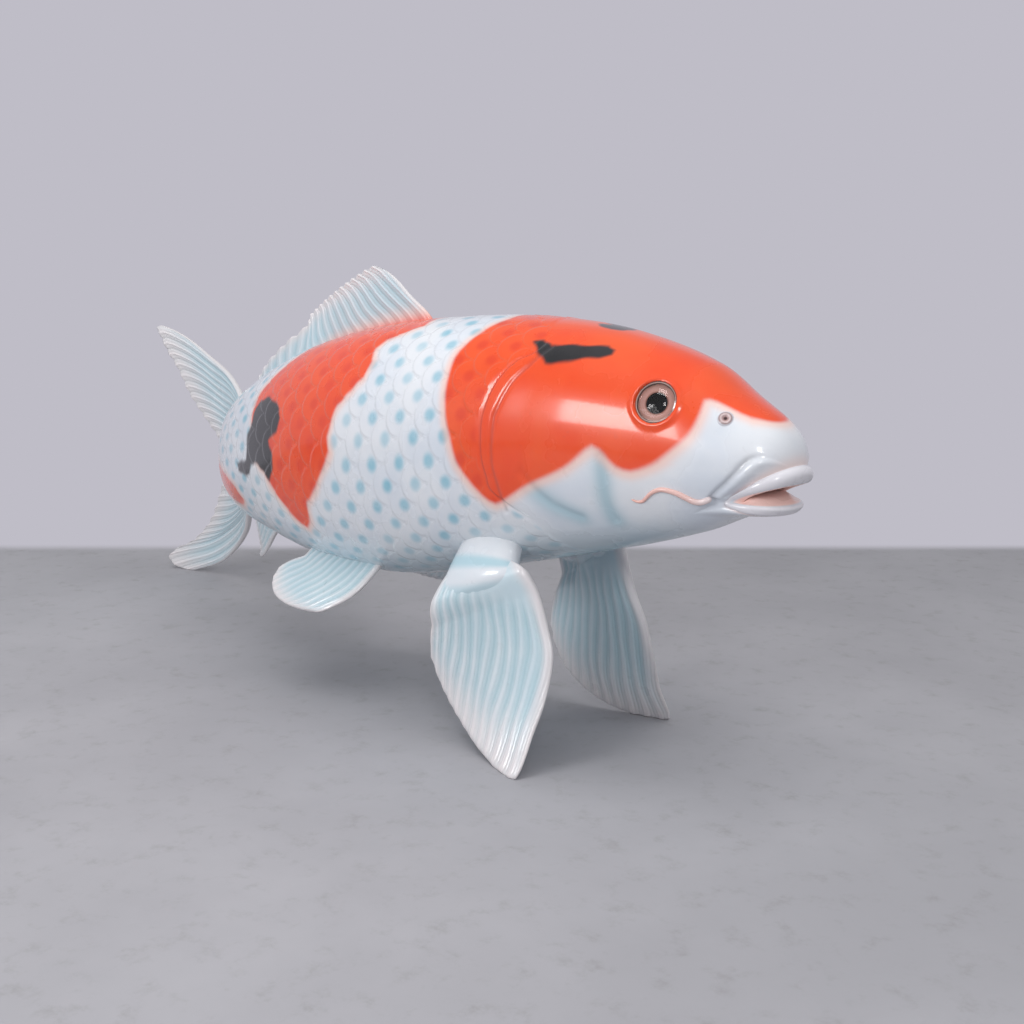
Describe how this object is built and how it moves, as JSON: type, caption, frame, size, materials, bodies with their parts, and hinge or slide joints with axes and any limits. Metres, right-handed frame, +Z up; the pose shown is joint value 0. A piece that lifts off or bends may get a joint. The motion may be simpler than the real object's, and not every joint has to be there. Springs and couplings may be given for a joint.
{
  "type": "fish figurine",
  "caption": "Large carp figure with a bent scaled body, standing on its breast fin tips and its tail's lower lobe; forked tail, glass eyes, thick lips and barbels.",
  "frame": {"origin": "on the floor, under the middle of the whole figure's box", "axes": "+X forward along the shoulders towards the head, +Y to the fish's left, +Z up"},
  "size_m": [1.7409, 0.4442, 0.6725],
  "materials": {
    "steel": "mill finish, unpainted, inside the figure",
    "laminate": "raw glass fibre laminate, inside the figure",
    "plywood": "plain plywood, inside the figure",
    "body_paint": "airbrushed and clear coated: white with pale blue scale centres, orange and charcoal patches",
    "fin_paint": "airbrushed and clear coated white with grey-blue shading between the rays",
    "lip_paint": "airbrushed and clear coated, pinkish white",
    "barbel_paint": "airbrushed pink, clear coated",
    "throat_paint": "dark red-brown",
    "eye_ring": "gloss black",
    "eye_iris": "painted pinkish brown with a black pupil",
    "eye_glass": "clear, polished"
  },
  "bodies": {
    "root": {"spine_tube": "steel", "tail_rod": "steel", "breast_fin_rod_right": "steel", "breast_fin_rod_left": "steel", "seam_tape_back": "laminate", "seam_tape_belly": "laminate", "bulkhead_front": "plywood", "bulkhead_middle": "plywood", "bulkhead_rear": "plywood", "body_shell_right": "body_paint", "body_shell_left": "body_paint", "breast_fin_right": "fin_paint", "breast_fin_left": "fin_paint", "belly_fin_right": "fin_paint", "belly_fin_left": "fin_paint", "dorsal_fin": "fin_paint", "anal_fin": "fin_paint", "tail_fin": "fin_paint", "mouth_casting": "lip_paint", "barbel_right": "barbel_paint", "barbel_left": "barbel_paint", "throat_cup": "throat_paint", "eye_ring_right": "eye_ring", "eye_ring_left": "eye_ring", "eye_iris_right": "eye_iris", "eye_iris_left": "eye_iris", "eye_glass_right": "eye_glass", "eye_glass_left": "eye_glass"}
  },
  "joints": []
}
